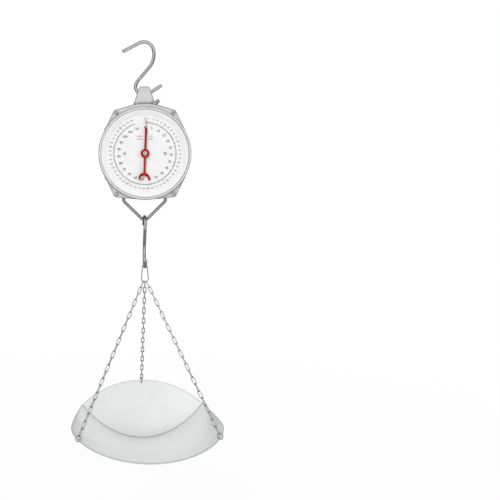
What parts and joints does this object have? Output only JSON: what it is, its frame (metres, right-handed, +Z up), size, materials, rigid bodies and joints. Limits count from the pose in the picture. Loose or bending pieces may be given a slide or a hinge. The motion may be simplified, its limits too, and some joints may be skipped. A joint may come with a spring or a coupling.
{
  "type": "hanging dial scale with scoop",
  "caption": "Hanging dial scale: wire top hook, round glazed dial head with a pointer, shackle, lower hook, and an open sheet-metal scoop on chains.",
  "frame": {"origin": "inside top of the upper hook loop, where the scale hangs", "axes": "+Z up along the hanging line, the dial faces -Y, +X to the right as seen from the front"},
  "size_m": [0.333, 0.4024, 0.9629],
  "materials": {
    "casting_grey": "satin grey paint",
    "cover_white": "satin off-white paint",
    "chrome_wire": "bright plated",
    "chain_chrome": "bright plated",
    "steel": "zinc plated",
    "spring_steel": "oiled",
    "scoop_metal": "bright sheet, lightly worn",
    "brass": "turned",
    "dial_white": "matt white print ground",
    "pointer_red": "deep red paint",
    "lens_clear": "clear moulded lens",
    "plug_dark": "dark moulded plug"
  },
  "bodies": {
    "hook": {"top_hook": "chrome_wire"},
    "head": {"hanger_bracket": "casting_grey", "hanger_pin": "casting_grey", "hanger_nut": "steel", "front_casting": "casting_grey", "rear_cover": "cover_white", "cover_plug": "plug_dark", "dial_plate": "dial_white", "dial_surround": "dial_white", "bezel_ring": "cover_white", "lens": "lens_clear", "movement_plate": "steel", "movement_bridge": "steel", "bridge_pillar_left": "brass", "bridge_pillar_right": "brass", "front_bush": "brass", "rear_bush": "brass", "rack_guide": "brass", "spring_crossbar": "steel", "main_spring_left": "spring_steel", "main_spring_right": "spring_steel", "dial_screw_left": "steel", "dial_screw_right": "steel", "dial_spacer_left": "brass", "dial_spacer_right": "brass", "case_screw_1": "chrome_wire", "side_screw_1": "steel", "case_screw_2": "chrome_wire", "side_screw_2": "steel", "case_screw_3": "chrome_wire", "side_screw_3": "steel", "case_screw_4": "chrome_wire", "side_screw_4": "steel"},
    "pointer_set": {"pointer": "pointer_red", "pointer_boss": "steel", "pointer_shaft": "steel", "pinion": "brass"},
    "zero_knob": {"zero_knob": "steel"},
    "draw_frame": {"draw_yoke": "steel", "rack": "brass", "shackle": "chrome_wire", "shackle_nut_left": "steel", "shackle_nut_right": "steel"},
    "lower_hook": {"lower_hook": "chrome_wire"},
    "load": {"load_ring": "chrome_wire", "chain_left": "chain_chrome", "chain_right": "chain_chrome", "chain_back": "chain_chrome", "eye_left": "chrome_wire", "eye_right": "chrome_wire", "eye_back": "chrome_wire", "scoop_trough": "scoop_metal", "scoop_back": "scoop_metal", "scoop_seam": "scoop_metal"}
  },
  "joints": [
    {"name": "body_swing", "type": "hinge", "parent": "hook", "child": "head", "pos_m": [0, 0, -0.111], "axis": [0, 1, 0], "range_deg": [-35, 35]},
    {"name": "draw_slide", "type": "slide", "parent": "head", "child": "draw_frame", "axis": [0, 0, -1], "range_m": [0, 0.027], "stiffness_N_per_m": 40300, "springref_m": -0.00042, "deforming": ["main_spring_left", "main_spring_right"]},
    {"name": "pointer_spin", "type": "hinge", "parent": "head", "child": "pointer_set", "pos_m": [0, 0, -0.255], "axis": [0, 1, 0], "range_deg": [0, 345]},
    {"name": "zero_knob_turn", "type": "hinge", "parent": "head", "child": "zero_knob", "pos_m": [0.02263, -0.021, -0.14378], "axis": [0.6845, 0, 0.729], "continuous": true},
    {"name": "hook_swing", "type": "hinge", "parent": "draw_frame", "child": "lower_hook", "pos_m": [0, 0, -0.4064], "axis": [1, 0, 0], "range_deg": [-35, 35]},
    {"name": "ring_swing", "type": "hinge", "parent": "lower_hook", "child": "load", "pos_m": [0, 0, -0.5145], "axis": [0, 1, 0], "range_deg": [-30, 30]}
  ],
  "couplings": [
    {"joint": "pointer_spin", "follows": "draw_slide", "rad_per_m": 222.22}
  ]
}
